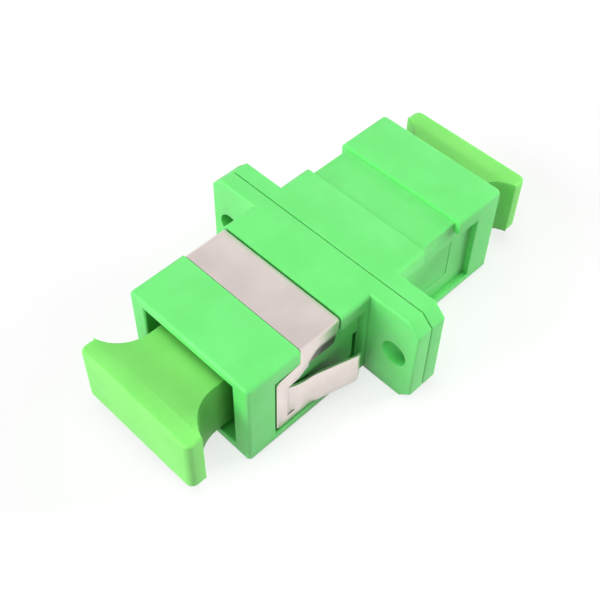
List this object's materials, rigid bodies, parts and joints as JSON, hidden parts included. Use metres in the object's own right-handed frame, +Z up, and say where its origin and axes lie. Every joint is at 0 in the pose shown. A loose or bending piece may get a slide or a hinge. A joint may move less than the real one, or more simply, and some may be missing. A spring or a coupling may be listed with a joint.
{
  "type": "fibre adapter",
  "caption": "Flanged fibre adapter with a split alignment sleeve, two-hole panel flange, sprung panel clip and a pull-out dust plug in each port.",
  "frame": {"origin": "on the optical axis, in the flange face that seats on the panel, midway between the two screw holes", "axes": "+Y along the optical axis away from the clip side, +X across the flange through the screw holes, +Z up, out of the face that carries the clip"},
  "size_m": [0.022, 0.037, 0.0092],
  "materials": {
    "housing_green": "moulded, satin",
    "insert_green": "moulded, satin",
    "plug_lime": "soft moulded plastic, satin",
    "clip_steel": "rolled stainless sheet",
    "sleeve_ceramic": "ground white ceramic"
  },
  "bodies": {
    "adapter": {"front_housing": "housing_green", "rear_housing": "housing_green", "front_latch_insert": "insert_green", "rear_latch_insert": "insert_green", "alignment_sleeve": "sleeve_ceramic", "panel_clip": "clip_steel"},
    "front_plug": {"front_dust_plug": "plug_lime"},
    "rear_plug": {"rear_dust_plug": "plug_lime"}
  },
  "joints": [
    {"name": "front_plug_slide", "type": "slide", "parent": "adapter", "child": "front_plug", "axis": [0, -1, 0], "range_m": [-0.00095, 0.02]},
    {"name": "rear_plug_slide", "type": "slide", "parent": "adapter", "child": "rear_plug", "axis": [0, 1, 0], "range_m": [0, 0.02]}
  ]
}
